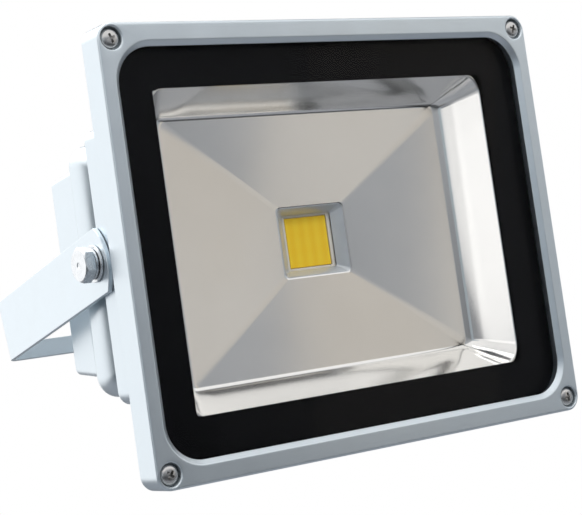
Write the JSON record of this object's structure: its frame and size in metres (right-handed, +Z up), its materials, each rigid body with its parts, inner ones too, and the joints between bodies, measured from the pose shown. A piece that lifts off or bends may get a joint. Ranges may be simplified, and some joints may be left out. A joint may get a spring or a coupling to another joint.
{
  "type": "led floodlight",
  "caption": "Rectangular wall floodlight: framed glass over a faceted reflector and square emitter, finned back with driver box, hung in a tilting U-bracket.",
  "frame": {"origin": "centre of the outer face of the bracket crossbar, the face that meets the wall", "axes": "+Z up; +Y out of the back of the crossbar into the wall, so the lamp faces -Y; +X to the right for someone facing the lamp"},
  "size_m": [0.239, 0.1472, 0.1835],
  "materials": {
    "silver_paint": "silver-grey powder coat on die-cast aluminium",
    "bracket_paint": "silver-grey powder coat on bent steel strip",
    "clear_glass": "clear toughened glass",
    "black_print": "black enamel printed on the back of the pane",
    "black_silicone": "matte silicone rubber",
    "bright_aluminium": "bright anodised sheet, satin",
    "yellow_phosphor": "yellow phosphor in silicone",
    "white_frame": "pale emitter frame",
    "plated_copper": "nickel-plated copper plate",
    "grey_pad": "soft thermal pad",
    "stainless": "stainless steel",
    "zinc_plate": "bright zinc plate",
    "black_nylon": "black nylon",
    "brass": "plain brass",
    "green_board": "green circuit board",
    "grey_ferrite": "ferrite core",
    "yellow_tape": "taped winding",
    "black_sleeve": "black sleeve",
    "red_sleeve": "red insulated wire",
    "orange_film": "orange coated film capacitor",
    "green_terminal": "green terminal block"
  },
  "bodies": {
    "bracket": {"u_bracket": "bracket_paint"},
    "head": {"bezel": "silver_paint", "bezel_screw_1": "stainless", "bezel_screw_2": "stainless", "bezel_screw_3": "stainless", "bezel_screw_4": "stainless", "board_screw_1": "stainless", "board_screw_2": "stainless", "board_screw_3": "stainless", "board_screw_4": "stainless", "cover_gasket": "black_silicone", "cover_screw_1": "stainless", "cover_screw_2": "stainless", "cover_screw_3": "stainless", "cover_screw_4": "stainless", "driver_board": "green_board", "earth_screw": "stainless", "emitter_frame": "white_frame", "film_capacitor": "orange_film", "flat_washer_left": "zinc_plate", "flat_washer_right": "zinc_plate", "front_glass": "clear_glass", "gland_body": "black_nylon", "gland_lock_nut": "brass", "gland_nut": "black_nylon", "gland_seal": "black_silicone", "glass_gasket": "black_silicone", "glass_print": "black_print", "heat_plate": "bright_aluminium", "housing": "silver_paint", "input_capacitor": "black_sleeve", "input_choke": "yellow_tape", "lead_negative": "black_sleeve", "lead_positive": "red_sleeve", "led_plate": "plated_copper", "led_screw_1": "stainless", "led_screw_2": "stainless", "led_screw_3": "stainless", "led_screw_4": "stainless", "output_capacitor": "black_sleeve", "phosphor": "yellow_phosphor", "pivot_bolt_left": "zinc_plate", "pivot_bolt_right": "zinc_plate", "rear_cover": "silver_paint", "rectifier": "black_sleeve", "reflector": "bright_aluminium", "spring_washer_left": "zinc_plate", "spring_washer_right": "zinc_plate", "switching_transistor": "black_sleeve", "terminal_block": "green_terminal", "thermal_pad": "grey_pad", "transformer_core": "grey_ferrite", "transformer_winding": "yellow_tape"}
  },
  "joints": [
    {"name": "tilt", "type": "hinge", "parent": "bracket", "child": "head", "pos_m": [0, -0.10003, 0], "axis": [1, 0, 0], "range_deg": [-102, 77]}
  ]
}
